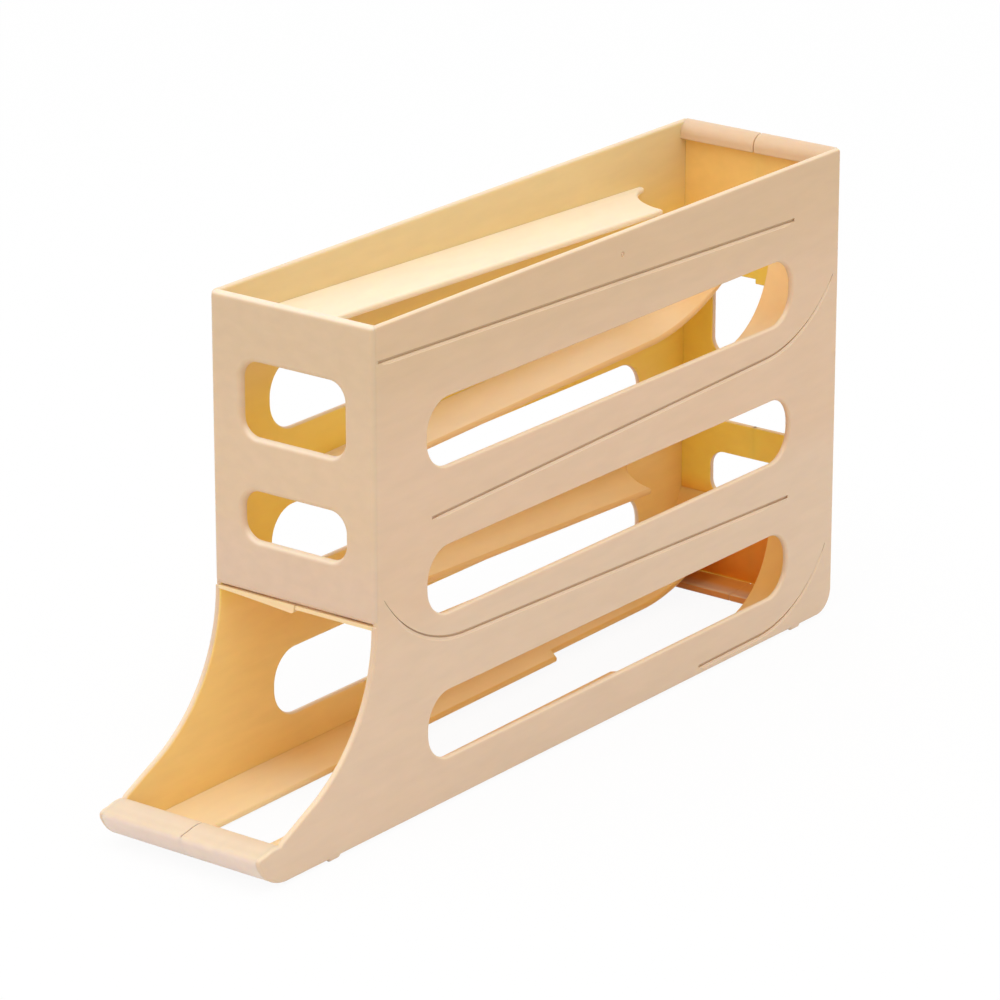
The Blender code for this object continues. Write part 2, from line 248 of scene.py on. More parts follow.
def setIn(name, mesh, material, *nodes, sharp=38):
    # the finished piece stands for its CAD nodes and rides on the body
    mesh.name = name
    if sum(slot is not None for slot in mesh.materials) < 2:
        mesh.materials.clear()
        mesh.materials.append(material)
        mesh.polygons.foreach_set("material_index", [0] * len(mesh.polygons))
    mesh.shade_smooth()
    mesh.set_sharp_from_angle(angle=math.radians(sharp))
    piece = bpy.data.objects.new(name, mesh)
    even = piece.modifiers.new("even normals", "WEIGHTED_NORMAL")
    even.keep_sharp = True
    even.weight = 100
    piece = bpy.data.objects.new(name, meshOf(piece))
    bpy.context.scene.collection.objects.link(piece)
    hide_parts(*nodes)
    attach(piece, body)


# Geometry Nodes: sheets bent along a path, and a round tool run along a path

roundTool = {"step": 0.003, "endWidth": 0.25, "corners": 20}


def setInputs(node, values):
    for socket, value in values.items():
        node.inputs[socket].default_value = value


def addNode(tree, kind, values=(), **settings):
    # settings are the node's own, and values go to its inputs
    node = tree.nodes.new(kind)
    for key, value in settings.items():
        setattr(node, key, value)
    setInputs(node, dict(values))
    return node


def wire(tree, links):
    # each link is (node, output, node, input)
    for source, output, target, socket in links:
        tree.links.new(source.outputs[output], target.inputs[socket])


def newTree(name, sockets):
    tree = bpy.data.node_groups.new(name, "GeometryNodeTree")
    for label, kind in sockets:
        tree.interface.new_socket(label, in_out="INPUT", socket_type="NodeSocket" + kind)
    tree.interface.new_socket("Geometry", in_out="OUTPUT", socket_type="NodeSocketGeometry")
    return tree, addNode(tree, "NodeGroupInput")


def closeTree(tree, given, last, output):
    realize = addNode(tree, "GeometryNodeRealizeInstances")
    paint = addNode(tree, "GeometryNodeSetMaterial")
    out = addNode(tree, "NodeGroupOutput")
    wire(tree, [(last, output, realize, "Geometry"), (realize, "Geometry", paint, "Geometry"),
                (given, "Material", paint, "Material"), (paint, "Geometry", out, "Geometry")])
    return tree


def bendTree():
    # each point keeps x, goes along the path by its y, and off it by its z
    sockets = [("Geometry", "Geometry"), ("Path", "Object"), ("Material", "Material")]
    tree, given = newTree("bendAlongPath", sockets)
    path = addNode(tree, "GeometryNodeObjectInfo")
    spot = addNode(tree, "GeometryNodeInputPosition")
    parts = addNode(tree, "ShaderNodeSeparateXYZ")
    sample = addNode(tree, "GeometryNodeSampleCurve", mode="LENGTH")
    off = addNode(tree, "ShaderNodeVectorMath", {0: (1, 0, 0)}, operation="CROSS_PRODUCT")
    rise = addNode(tree, "ShaderNodeVectorMath", operation="SCALE")
    side = addNode(tree, "ShaderNodeCombineXYZ")
    lift = addNode(tree, "ShaderNodeVectorMath", operation="ADD")
    total = addNode(tree, "ShaderNodeVectorMath", operation="ADD")
    place = addNode(tree, "GeometryNodeSetPosition")
    wire(tree, [
        (given, "Path", path, "Object"), (spot, 0, parts, 0), (path, "Geometry", sample, "Curves"),
        (parts, "Y", sample, "Length"), (sample, "Tangent", off, 1), (off, "Vector", rise, 0),
        (parts, "Z", rise, "Scale"), (parts, "X", side, "X"), (sample, "Position", lift, 0),
        (side, 0, lift, 1), (lift, "Vector", total, 0), (rise, "Vector", total, 1),
        (given, "Geometry", place, "Geometry"), (total, "Vector", place, "Position")])
    return closeTree(tree, given, place, "Geometry")


def gougeTree():
    # a round tool run along the path, slimmer towards its ends
    sockets = [("Geometry", "Geometry"), ("Path", "Object"), ("Radius", "Float"), ("Taper", "Float"),
               ("Material", "Material")]
    tree, given = newTree("gougeAlongPath", sockets)
    path = addNode(tree, "GeometryNodeObjectInfo")
    even = addNode(tree, "GeometryNodeResampleCurve", {"Length": roundTool["step"]}, mode="LENGTH")
    along = addNode(tree, "GeometryNodeSplineParameter")
    whole = addNode(tree, "GeometryNodeSplineLength")
    rest = addNode(tree, "ShaderNodeMath", operation="SUBTRACT")
    nearest = addNode(tree, "ShaderNodeMath", operation="MINIMUM")
    slim = addNode(tree, "ShaderNodeMapRange", {"To Min": roundTool["endWidth"]},
                   interpolation_type="SMOOTHSTEP")
    ring = addNode(tree, "GeometryNodeCurvePrimitiveCircle", {"Resolution": roundTool["corners"]})
    sweep = addNode(tree, "GeometryNodeCurveToMesh", {"Fill Caps": True})
    wire(tree, [
        (given, "Path", path, "Object"), (whole, "Length", rest, 0), (along, "Length", rest, 1),
        (along, "Length", nearest, 0), (rest, 0, nearest, 1), (nearest, 0, slim, "Value"),
        (given, "Taper", slim, "From Max"), (given, "Radius", ring, "Radius"),
        (path, "Geometry", even, "Curve"), (even, "Curve", sweep, "Curve"),
        (ring, "Curve", sweep, "Profile Curve"), (slim, "Result", sweep, "Scale")])
    return closeTree(tree, given, sweep, "Mesh")


def runAlong(mesh, tree, points, across=0.0, **values):
    # runs a tree with a path through (along, up) points, and the modifier goes with its object
    curve = bpy.data.curves.new(tree.name + "Path", "CURVE")
    curve.dimensions = "3D"
    spline = curve.splines.new("POLY")
    spline.points.add(len(points) - 1)
    for point, (along, up) in zip(spline.points, points):
        point.co = (across, rack["tip"] + along, up, 1)
    path = values["Path"] = bpy.data.objects.new(curve.name, curve)
    bpy.context.scene.collection.objects.link(path)
    item = bpy.data.objects.new(tree.name, mesh)
    run = item.modifiers.new(tree.name, "NODES")
    run.node_group = tree
    for socket in tree.interface.items_tree:
        if socket.in_out == "INPUT" and socket.name in values:
            run[socket.identifier] = values[socket.name]
    made = meshOf(item)
    bpy.data.objects.remove(path, do_unlink=True)
    return welded(made)


def bentSheet(name, outline, thickness, rounding, points, material, rows, lean=None):
    flat = sliced(flatSheet(name, [outline], thickness, rounding), 1, rows)
    if lean:
        for vertex in flat.vertices:
            vertex.co.z -= lean(abs(vertex.co.x), vertex.co.y)
    return runAlong(flat, bend, points, Material=material)


# Finishes: groups for the skin's colour and gloss, and masks that say where a tone belongs; the tones
# that differ by mask are painted light and shade

def newGroup(name, inputs, outputs):
    group = bpy.data.node_groups.new(name, "ShaderNodeTree")
    for label, kind, value in inputs:
        socket = group.interface.new_socket(label, in_out="INPUT", socket_type="NodeSocket" + kind)
        socket.default_value = value
    for label, kind in outputs:
        group.interface.new_socket(label, in_out="OUTPUT", socket_type="NodeSocket" + kind)
    return group, addNode(group, "NodeGroupInput"), addNode(group, "NodeGroupOutput")


def skinGroup():
    # moulded skin: cloudy colour, faint flow streaks, fine grain and uneven gloss
    inputs = [("Colour", "Color", (0.7, 0.5, 0.33, 1)), ("Cloud Tint", "Color", (1, 0.95, 0.88, 1)),
              ("Cloud Amount", "Float", 0.5), ("Cloud Scale", "Float", 14.0),
              ("Grain Scale", "Float", 2600.0), ("Gloss", "Float", 0.42)]
    outputs = [("Colour", "Color"), ("Roughness", "Float"), ("Height", "Float")]
    group, given, out = newGroup("mouldedSkin", inputs, outputs)
    where = addNode(group, "ShaderNodeTexCoord")
    stretch = addNode(group, "ShaderNodeMapping", {"Scale": (1, 0.35, 1.6)})
    cloud = addNode(group, "ShaderNodeTexNoise", {"Detail": 3})
    streak = addNode(group, "ShaderNodeTexNoise", {"Scale": 160, "Detail": 2})
    grain = addNode(group, "ShaderNodeTexNoise", {"Detail": 1})
    wide = addNode(group, "ShaderNodeTexNoise", {"Scale": 30, "Detail": 0})
    share = addNode(group, "ShaderNodeMath", operation="MULTIPLY")
    tint = addNode(group, "ShaderNodeMix", data_type="RGBA", blend_type="MULTIPLY")
    streakTone = addNode(group, "ShaderNodeMapRange",
                         {"From Min": 0.3, "From Max": 0.7, "To Min": 0.975, "To Max": 1.02})
    tone = addNode(group, "ShaderNodeVectorMath", operation="SCALE")
    uneven = addNode(group, "ShaderNodeMapRange", {"To Min": -0.06, "To Max": 0.06})
    rough = addNode(group, "ShaderNodeMath", operation="ADD")
    small = addNode(group, "ShaderNodeMath", {1: 0.04}, operation="MULTIPLY")
    height = addNode(group, "ShaderNodeMath", operation="ADD")
    wire(group, [
        (where, "Object", stretch, "Vector"), (stretch, "Vector", streak, "Vector"),
        (where, "Object", cloud, "Vector"), (where, "Object", grain, "Vector"),
        (where, "Object", wide, "Vector"), (given, "Cloud Scale", cloud, "Scale"),
        (given, "Grain Scale", grain, "Scale"), (cloud, "Fac", share, 0),
        (given, "Cloud Amount", share, 1), (share, 0, tint, "Factor"), (given, "Colour", tint, "A"),
        (given, "Cloud Tint", tint, "B"), (streak, "Fac", streakTone, "Value"),
        (tint, "Result", tone, 0), (streakTone, "Result", tone, "Scale"),
        (tone, "Vector", out, "Colour"), (cloud, "Fac", uneven, "Value"),
        (uneven, "Result", rough, 0), (given, "Gloss", rough, 1), (rough, 0, out, "Roughness"),
        (grain, "Fac", small, 0), (small, 0, height, 0), (wide, "Fac", height, 1),
        (height, 0, out, "Height")])
    return group


def maskGroup(name, inputs, low, high, measure):
    # nought where the measure is at its low input or under, one at its high one and over
    group, given, out = newGroup(name, inputs, [("Mask", "Float")])
    where = addNode(group, "ShaderNodeTexCoord")
    fade = addNode(group, "ShaderNodeMapRange", interpolation_type="SMOOTHSTEP")
    wire(group, [(*measure(group, given, where), fade, "Value"), (given, low, fade, "From Min"),
                 (given, high, fade, "From Max"), (fade, "Result", out, "Mask")])
    return group


def looksInwards(group, given, where):
    # one on faces that look into the rack, less on its outer skin and its edges; there the finishes
    # paint a deeper orange for light bounced inside the rack and for its shade
    scaled = addNode(group, "ShaderNodeVectorMath", operation="MULTIPLY")
    looks = addNode(group, "ShaderNodeVectorMath", operation="DOT_PRODUCT")
    wire(group, [(where, "Object", scaled, 0), (given, "Facing", scaled, 1),
                 (scaled, "Vector", looks, 0), (where, "Normal", looks, 1)])
    return looks, "Value"


def looksUp(group, given, where):
    # faces that look up take a paler tone: painted light from above
    parts = addNode(group, "ShaderNodeSeparateXYZ")
    wire(group, [(where, "Normal", parts, 0)])
    return parts, "Z"


def liesAlong(group, given, where):
    # place along a direction, which sets where a zone or top tone goes: painted light and shade by
    # height and by region
    along = addNode(group, "ShaderNodeVectorMath", operation="DOT_PRODUCT")
    wire(group, [(where, "Object", along, 0), (given, "Direction", along, 1)])
    return along, "Value"


# Which way is inwards for the walls, the panel and the back, over their distance from the middle
acrossFace = (-1 / rack["half"], 0, 0)
panelFace = (0, -1 / 0.105, 0)
backFace = (0, -2 / rack["length"], 0)
skinTree = skinGroup()
# faces looking into the rack take the inside tones: painted bounce light and shade
insideTree = maskGroup(
    "insideRack", [("Facing", "Vector", acrossFace), ("Start", "Float", 0.45), ("Full", "Float", 0.85)],
    "Start", "Full", looksInwards)
# the paler tone on up-facing faces is painted light from above
upwardTree = maskGroup(
    "upwardFaces", [("Start", "Float", 0.25), ("Full", "Float", 0.8)], "Start", "Full", looksUp)
# top and zone tones by place on the rack: painted light and shade
placeTree = maskGroup(
    "placeOnRack",
    [("Direction", "Vector", (0, 0, 1)), ("Low", "Float", 0.125), ("High", "Float", 0.172)],
    "Low", "High", liesAlong)

# Each finish has tones for its outer skin, for what looks inside and for what looks up. A zone has
# its own, past the ends along a direction, and so has the top, past the level. These tones are painted
# light and shade: a deeper orange inside for light bounced there, paler on faces that look up, and
# zones and tops lighter or darker by how the light falls.
plain = {"facing": acrossFace, "level": (0.125, 0.172), "zone": (0, 0, 1), "ends": (0.3, 0.4),
         "flat": (0.25, 0.8)}


def toned(outer, upward, **others):
    # tones left out are the outer one, or the one of their face
    finish = {**plain, "outer": outer, "upward": upward, **others}
    finish.setdefault("inside", outer)
    for tone in ("outer", "inside"):
        finish.setdefault(tone + "Top", finish[tone])
    for tone in ("outer", "inside", "upward"):
        finish.setdefault(tone + "Zone", finish[tone])
    return finish


finishes = {
    # painted light and shade: the outer skin darker higher up and at the top; the inside a deeper
    # orange for bounced light, with other tones higher up and at the top
    "wall": toned(
        (0.72, 0.54, 0.385), (0.86, 0.68, 0.49), outerZone=(0.72, 0.517, 0.352),
        outerTop=(0.665, 0.472, 0.295), inside=(0.96, 0.69, 0.26), insideZone=(1.0, 0.73, 0.15),
        insideTop=(0.79, 0.63, 0.335), ends=(0.064, 0.08)),
    # painted light and shade: other tones low down and at the top, and a deeper orange on the rear face
    # for bounced light
    "panel": toned(
        (0.71, 0.522, 0.35), (0.90, 0.76, 0.60), outerZone=(0.71, 0.525, 0.385),
        outerTop=(0.67, 0.492, 0.32), inside=(0.93, 0.66, 0.26), insideTop=(0.85, 0.62, 0.32),
        facing=panelFace, zone=(0, 0, -1), ends=(-0.11, -0.085)),
    # painted light: paler at the top and on up-facing faces of the upper tiers
    "strip": toned(
        (0.92, 0.64, 0.33), (0.98, 0.76, 0.50), upwardZone=(1.0, 0.84, 0.64),
        outerTop=(0.99, 0.82, 0.63), insideTop=(0.99, 0.82, 0.63), level=(0.13, 0.16),
        ends=(0.13, 0.16), flat=(0.8, 0.97)),
    # a darker, deeper orange copy of the strip for the low tier: painted shade
    "lowStrip": toned((0.92, 0.62, 0.28), (0.95, 0.69, 0.34), flat=(0.8, 0.97)),
    # painted shade: deeper orange towards the rear
    "tray": toned(
        (0.98, 0.75, 0.45), (0.99, 0.76, 0.47), outerZone=(1.0, 0.61, 0.21),
        insideZone=(1.0, 0.61, 0.21), upwardZone=(0.99, 0.66, 0.29), zone=(0, 1, 0),
        ends=(-0.095, -0.06), flat=(0.8, 0.97)),
    "rail": toned((0.90, 0.66, 0.38), (0.90, 0.66, 0.38)),
    "lip": toned((0.79, 0.64, 0.54), (0.80, 0.64, 0.47)),
    "rim": toned((0.76, 0.54, 0.35), (0.76, 0.55, 0.37)),
    # painted light and shade: golden inside, dark red-brown low down inside, other tones at the top
    "back": toned(
        (0.72, 0.517, 0.352), (0.86, 0.62, 0.33), outerTop=(0.70, 0.50, 0.32),
        inside=(1.0, 0.75, 0.14), insideZone=(0.95, 0.35, 0.03), insideTop=(0.96, 0.64, 0.21),
        facing=backFace, level=(0.13, 0.155), zone=(0, 0, -1), ends=(-0.044, -0.029)),
    # painted light and shade: dark red-brown inside and towards the rear, paler on its front top
    "sill": toned(
        (0.72, 0.517, 0.352), (0.96, 0.48, 0.12), upwardZone=(0.82, 0.56, 0.37),
        inside=(0.82, 0.32, 0.07), facing=backFace, zone=(0, -1, 0), ends=(-0.159, -0.153)),
    # paler faces the round tool leaves along each line: a painted highlight for their lit flank
    "bead": toned((0.78, 0.58, 0.41), (0.80, 0.60, 0.42), outerTop=(0.75, 0.55, 0.36)),
    # faces of each line's slit: painted shade in the recess
    "groove": toned((0.60, 0.41, 0.26), (0.72, 0.52, 0.35), outerTop=(0.56, 0.38, 0.22)),
}
plastic = {  # what all finishes share
    "skin": {"Cloud Amount": 0.6, "Gloss": 0.43},
    "bump": {"Strength": 0.25, "Distance": 0.0004},
    "shader": {"IOR": 1.48, "Specular IOR Level": 0.35, "Subsurface Weight": 0.35,
               "Subsurface Radius": (1.0, 0.6, 0.25), "Subsurface Scale": 0.0025},
}


def moulded(name, finish):
    material = bpy.data.materials.new(name)
    material.use_nodes = True
    tree = material.node_tree
    shader, link = tree.nodes["Principled BSDF"], tree.links.new

    def masked(group, **values):
        return addNode(tree, "ShaderNodeGroup", values, node_tree=group).outputs["Mask"]

    def mixed(one, other, mask):
        # a tone is a colour or the output of an earlier mix
        mix = addNode(tree, "ShaderNodeMix", data_type="RGBA")
        for socket, tone in (("A", one), ("B", other)):
            if isinstance(tone, tuple):
                mix.inputs[socket].default_value = (*tone, 1)
            else:
                link(tone, mix.inputs[socket])
        link(mask, mix.inputs["Factor"])
        return mix.outputs["Result"]

    # masks for the painted light and shade: inside, top, zone and up-facing tones
    inside = masked(insideTree, Facing=finish["facing"])
    top = masked(placeTree, Low=finish["level"][0], High=finish["level"][1])
    zone = masked(placeTree, Direction=finish["zone"], Low=finish["ends"][0], High=finish["ends"][1])
    upward = masked(upwardTree, Start=finish["flat"][0], Full=finish["flat"][1])
    tones = [mixed(mixed(finish[tone], finish[tone + "Zone"], zone), finish[tone + "Top"], top)
             for tone in ("outer", "inside")]
    # paler tone on up-facing faces: painted light from above
    paintedTopLight = mixed(finish["upward"], finish["upwardZone"], zone)
    skin = addNode(tree, "ShaderNodeGroup", plastic["skin"], node_tree=skinTree)
    bump = addNode(tree, "ShaderNodeBump", plastic["bump"])
    link(mixed(mixed(*tones, inside), paintedTopLight, upward), skin.inputs["Colour"])
    wire(tree, [(skin, "Height", bump, "Height"), (bump, "Normal", shader, "Normal"),
                (skin, "Colour", shader, "Base Color"), (skin, "Roughness", shader, "Roughness")])
    setInputs(shader, plastic["shader"])
    return material


skins = {name: moulded(name + "Plastic", finish) for name, finish in finishes.items()}
bend, gouge = bendTree(), gougeTree()
print("finishes and trees made")


# Tiers: each a pair of strips, straight or with an upward bend at one end

tiers = {
    "track1": {
        "nodes": "track_1", "finish": "strip", "front": 0.0655, "back": 0.308,
        "level": 0.1673,  # the strip's middle at its front end, or where its front bend starts
        "tilt": -1.86,  # degrees, upwards to the back
        "near": 0.0095,  # inner edge, from the rack's middle
        "lean": 0.001,  # how much lower that edge lies
        "scoop": "back",  # the end that is hollowed
        "bends": None,  # the end that bends upwards
        "line": (0.0645, 0.3055),  # ends of the line on the walls
    },
    "track2": {
        "nodes": "track_2", "finish": "strip", "front": 0.092, "back": behind,
        "level": 0.1056, "tilt": 1.61, "near": 0.0140, "lean": 0.003, "scoop": "front",
        "bends": "back", "bend": 0.289, "radius": 0.055,
        "wide": 0.0140,  # inner edge where the bend starts
        "tip": 0.0045,  # and at its end
        "line": (0.093, behind - 0.001),
    },
    "track3": {
        # the low tier takes the shaded copy of the strip's tones: painted shade
        "nodes": "track_3", "finish": "lowStrip", "front": 0.0655, "back": 0.307,
        "level": 0.0599, "tilt": -1.78, "near": 0.0125, "lean": 0.003, "scoop": "back",
        "bends": "front", "bend": 0.111, "radius": 0.055, "line": (0.0672, 0.3045),
    },
    "track4": {
        "nodes": "track_4", "finish": "tray", "front": 0.0159, "back": behind,
        "level": 0.0021, "tilt": 0.49, "near": 0.0120, "lean": 0.0007, "scoop": None,
        "bends": "back", "bend": 0.2875, "radius": 0.050, "wide": 0.0172, "tip": 0.0065,
        "widens": 0.226,  # where the strip steps back to its wide place
        "line": (None, behind - 0.0025),
    },
}
strip = {
    "thickness": 0.0024,
    "rounding": 0.0009,
    "scoop": 0.022,  # radius of a hollowed end
    "horn": 0.0024,  # what the hollow leaves at the wall
    "corner": 0.0012,
    "row": 0.0022,  # between the rows of a bend
    "turn": 1.5,  # degrees between the points of a bend
    "ease": 1.7,  # how late a bend's inner edge runs in
    "edgePoints": 12,
    "overrun": 0.003,  # past the back plates, to be cut there
    "slant": 0.004,  # of the tray's step
}


def tierPath(tier, front=None, back=None):
    # the strip's middle line from front to back, as (along, up)
    front = tier["front"] if front is None else front
    back = tier["back"] if back is None else back
    tilt, bends = math.radians(tier["tilt"]), tier["bends"]
    start = tier["bend"] if bends == "front" else tier["front"]
    level = lambda along: tier["level"] + (along - start) * math.tan(tilt)
    if not bends:
        return [(front, level(front)), (back, level(back))]
    bendAt, radius = tier["bend"], tier["radius"]
    centre = (bendAt - radius * math.sin(tilt), level(bendAt) + radius * math.cos(tilt))
    end = front if bends == "front" else back
    turn = math.degrees(-math.acos((end - centre[0]) / radius))
    points = arcPoints(centre, radius, tier["tilt"] - 90, turn, strip["turn"])
    if bends == "front":
        return points[::-1] + [(back, level(back))]
    return [(front, level(front))] + points


def runTo(tier, along):
    # how far along the strip a place on its straight part is
    return (along - tier["front"]) / math.cos(math.radians(tier["tilt"]))


def bendEdge(tier, total, bendStart):
    # the inner edge along a rear bend, from its end back to the straight part
    edge = []
    for i in range(strip["edgePoints"] + 1):
        share = 1 - i / strip["edgePoints"]
        ease = share ** strip["ease"]
        edge.append((tier["wide"] + (tier["tip"] - tier["wide"]) * ease,
                     bendStart + (total - bendStart) * share))
    return edge


def stripOutline(tier, total, bendStart):
    # right strip seen flat from above: x across, and the distance run along the path
    near, far, corner = tier["near"], reach, strip["corner"]
    scoop, horn = strip["scoop"], far - strip["horn"]
    turn = math.degrees(math.acos((horn - near) / scoop))
    hornEnd = scoop * math.sin(math.radians(turn))
    if tier["scoop"] == "front":
        sweep = arcPoints((near, 0), scoop, turn, 90)
        return [(far, hornEnd), (far, total)] + bendEdge(tier, total, bendStart) + sweep[::-1]
    points = softCorners([(near, 0, corner), (far, 0, corner), (far, total, 0)])
    if tier["scoop"] == "back":
        sweep = arcPoints((near, total), scoop, -90, -turn)
        return points[:-1] + [(far, total - hornEnd)] + sweep[::-1]
    straight = runTo(tier, tier["widens"])
    return (points + bendEdge(tier, total, bendStart)
            + [(tier["wide"], straight + strip["slant"]), (near, straight)])


def tierStrips(name, tier):
    points = tierPath(tier)
    bendStart, bendEnd = 0, 0
    if tier["bends"] == "front":
        bendEnd = pathLength(points[:-1])
    elif tier["bends"] == "back":
        points = tierPath(tier, back=tier["back"] + strip["overrun"])
        bendStart, bendEnd = runTo(tier, tier["bend"]), pathLength(points)
    outline = stripOutline(tier, pathLength(points), bendStart)
    rows = evenRows(bendStart, bendEnd, int((bendEnd - bendStart) / strip["row"]))

    def lean(across, run):
        # the inner edge lies lower, save where the bend meets another piece
        share = min(max((run - bendStart) / (bendEnd - bendStart), 0), 1) if tier["bends"] else 0
        share = share if tier["bends"] == "front" else 1 - share
        return tier["lean"] * share * (reach - across) / (reach - tier["near"])

    skin = skins[tier["finish"]]
    for side, shape in (("Left", mirrorOutline(outline)), ("Right", outline)):
        mesh = bentSheet(name + side, shape, strip["thickness"], strip["rounding"], points, skin, rows,
                         lean)
        if tier["bends"] == "front":
            mesh = trimmed(mesh, tier["front"], clear_inner=True)
        elif tier["bends"] == "back":
            mesh = trimmed(mesh, tier["back"], clear_outer=True)
        setIn(name + side, mesh, skin, tier["nodes"] + "_" + side.lower())


for name, tier in tiers.items():
    tierStrips(name, tier)
print("tiers made")


# The lip's section, which the noses of the walls follow too

lip = {
    "thickness": 0.002,
    "rounding": 0.00045,
    "nose": 0.01559,  # middle of the round nose, along the rack
    "noseRadius": 0.016,
    "noseTurn": 206.0,  # degrees, where the edge turns in
    "nosePull": (0.0029, 0.0032),  # how far the turned edge keeps its first and last direction
    "noseStep": 3,
    "edgeRows": 14,
    "flangeStart": (0.0062, 0.0139),
    "rear": 0.0125,
    "rearHeight": 0.0142,
    "crown": 0.0004,  # rise of the flange at its middle
    "crownRows": 8,
    "sink": 0.00003,  # keeps the lip's skin off the walls'
    "seam": 0.0008,  # from the rack's middle
    "seamGap": 0.00042,
    "seamRow": 6,  # the row of the turned edge where the open seam ends
    "tabDeep": 0.0012,
    "overlap": 0.0005,
    "rows": 60,
}


def lipPath():
    # the middle line from under the nose, up round it and back along the flange, and how far along
    # it the seam opens
    half = lip["thickness"] / 2
    nose = (lip["nose"], rack["base"] + lip["noseRadius"])
    radius = lip["noseRadius"] - half - lip["sink"]
    shell = arcPoints(nose, radius, 270, lip["noseTurn"], lip["noseStep"])
    start = (lip["flangeStart"][0], lip["flangeStart"][1] - half)
    end = (lip["rear"], lip["rearHeight"] - half)
    flange = []
    for i in range(lip["crownRows"] + 1):
        t = i / lip["crownRows"]
        crown = lip["crown"] * 4 * t * (1 - t)
        flange.append((start[0] + t * (end[0] - start[0]), start[1] + t * (end[1] - start[1]) + crown))
    a = math.atan2(shell[-1][1] - shell[-2][1], shell[-1][0] - shell[-2][0])
    b = math.atan2(flange[1][1] - flange[0][1], flange[1][0] - flange[0][0])
    first, second = lip["nosePull"]
    one = (shell[-1][0] + first * math.cos(a), shell[-1][1] + first * math.sin(a))
    two = (flange[0][0] - second * math.cos(b), flange[0][1] - second * math.sin(b))
    turn = []
    for i in range(1, lip["edgeRows"]):
        t, u = i / lip["edgeRows"], 1 - i / lip["edgeRows"]
        turn.append(tuple(u ** 3 * shell[-1][k] + 3 * u * u * t * one[k] + 3 * u * t * t * two[k]
                          + t ** 3 * flange[0][k] for k in (0, 1)))
    return shell + turn + flange, pathLength(shell + turn[:lip["seamRow"]])


# Side walls: long slots, gouged lines beside the tiers, feet, a small gate mark

wall = {
    "rounding": 0.0011,
    "segments": 4,
    "meet": (0.0008, 0.0010),  # the throat ends so far behind and above the lip's rear edge
    "throat": 0.0584,
    "throatStep": 2.0,
    "panel": 0.0625,  # where the throat ends under the panel
    "front": 0.0632,
    "seat": 0.0757,
    "backCorner": 0.009,
    "topCorner": 0.0015,
    "frontCorner": 0.0018,
    "frontStep": 10,
    "slotFront": 0.091,
    "slotBack": 0.305,
    "slotTall": 0.0242,
    "slotEnd": 0.0113,
    "feet": (0.040, 0.3115),
    "footLong": 0.0065,
    "footRoot": 0.00003,  # below the wall's edge
    "lowestLine": (0.249, 0.0020),  # start of the tray's line, and its height above the strip
    "lineRadius": 0.0012,  # of the round tool
    "lineOut": 0.0009,  # how far out the tool's middle runs
    "lineDrop": 0.00063,  # and how far below the slit
    "lineTapers": (0.004, 0.004, 0.018, 0.004),  # how long the slim ends of each line are
    "lineSlit": 0.0012,
    "lineShares": (0.3, 0.7),  # of the slit, below and above the path
    "lineDeep": 0.0007,
    "lineFades": (0.6, 0.6, 0.95, 0.6),  # how much slimmer the slit is where it turns upwards
    "gate": (0.200, 0.172),
    "gateRadius": 0.0011,
    "gateNub": 0.45,  # of the radius
    "gateDeep": 0.0006,
    "gateRounding": 0.0001,
}


def wallOutline():
    # the nose follows the lip's outer face, so that the two make one round edge
    profile = lipPath()[0]
    half = lip["thickness"] / 2 + lip["sink"]
    nose = []
    for (a, b), (c, d) in zip(profile, profile[1:]):
        along = math.dist((a, b), (c, d))
        if along > tolerance["point"]:
            nose.append(((a + c) / 2 - half * (d - b) / along, (b + d) / 2 + half * (c - a) / along))
    points = nose[::-1]
    for middle in wall["feet"]:
        half, root = wall["footLong"] / 2, rack["base"] - wall["footRoot"]
        points += [(middle - half, root), (middle - half + root, 0), (middle + half - root, 0),
                   (middle + half, root)]
    corner = wall["backCorner"]
    points += arcPoints((rack["length"] - corner, rack["base"] + corner), corner, -90, 0)
    corner = wall["topCorner"]
    points += arcPoints((rack["length"] - corner, rack["height"] - corner), corner, 0, 90)
    corner, top = wall["frontCorner"], rack["height"]
    points += arcPoints((wall["front"] + corner, top - corner), corner, 90, 180, wall["frontStep"])
    points.append((wall["front"], wall["seat"]))
    throat = (wall["panel"] - wall["throat"], wall["seat"])
    meet = (lip["rear"] + wall["meet"][0], lip["rearHeight"] + wall["meet"][1])
    toMeet = (meet[0] - throat[0], meet[1] - throat[1])
    away = math.hypot(*toMeet)
    turn = math.degrees(math.atan2(toMeet[1], toMeet[0]) + math.acos(min(1, wall["throat"] / away)))
    return points + arcPoints(throat, wall["throat"], 0, turn, wall["throatStep"]) + [meet]


def wallSlots():
    rows = [rack["slotRow"] + i * rack["slotPitch"] for i in range(3)]
    front, back, half = wall["slotFront"], wall["slotBack"], wall["slotTall"] / 2
    return [softBox((front, row - half), (back, row + half), wall["slotEnd"])[::-1] for row in rows]


def linePaths():
    *paths, lowest = [tierPath(tier, *tier["line"]) for tier in tiers.values()]
    start, above = wall["lowestLine"]
    return paths + [[(start, lowest[0][1] + above)] + lowest[1:]]


def slitOutline(points, fade):
    # a thin band along the path, slimmer where the path turns upwards
    below, above = wall["lineShares"]
    low, high = [], []
    for i, (along, up) in enumerate(points):
        a, b = points[max(i - 1, 0)], points[min(i + 1, len(points) - 1)]
        steep = abs(b[1] - a[1]) / math.dist(a, b)
        tall = wall["lineSlit"] * (1 - fade * steep)
        low.append((along, up - below * tall))
        high.append((along, up + above * tall))
    return low + high[::-1]


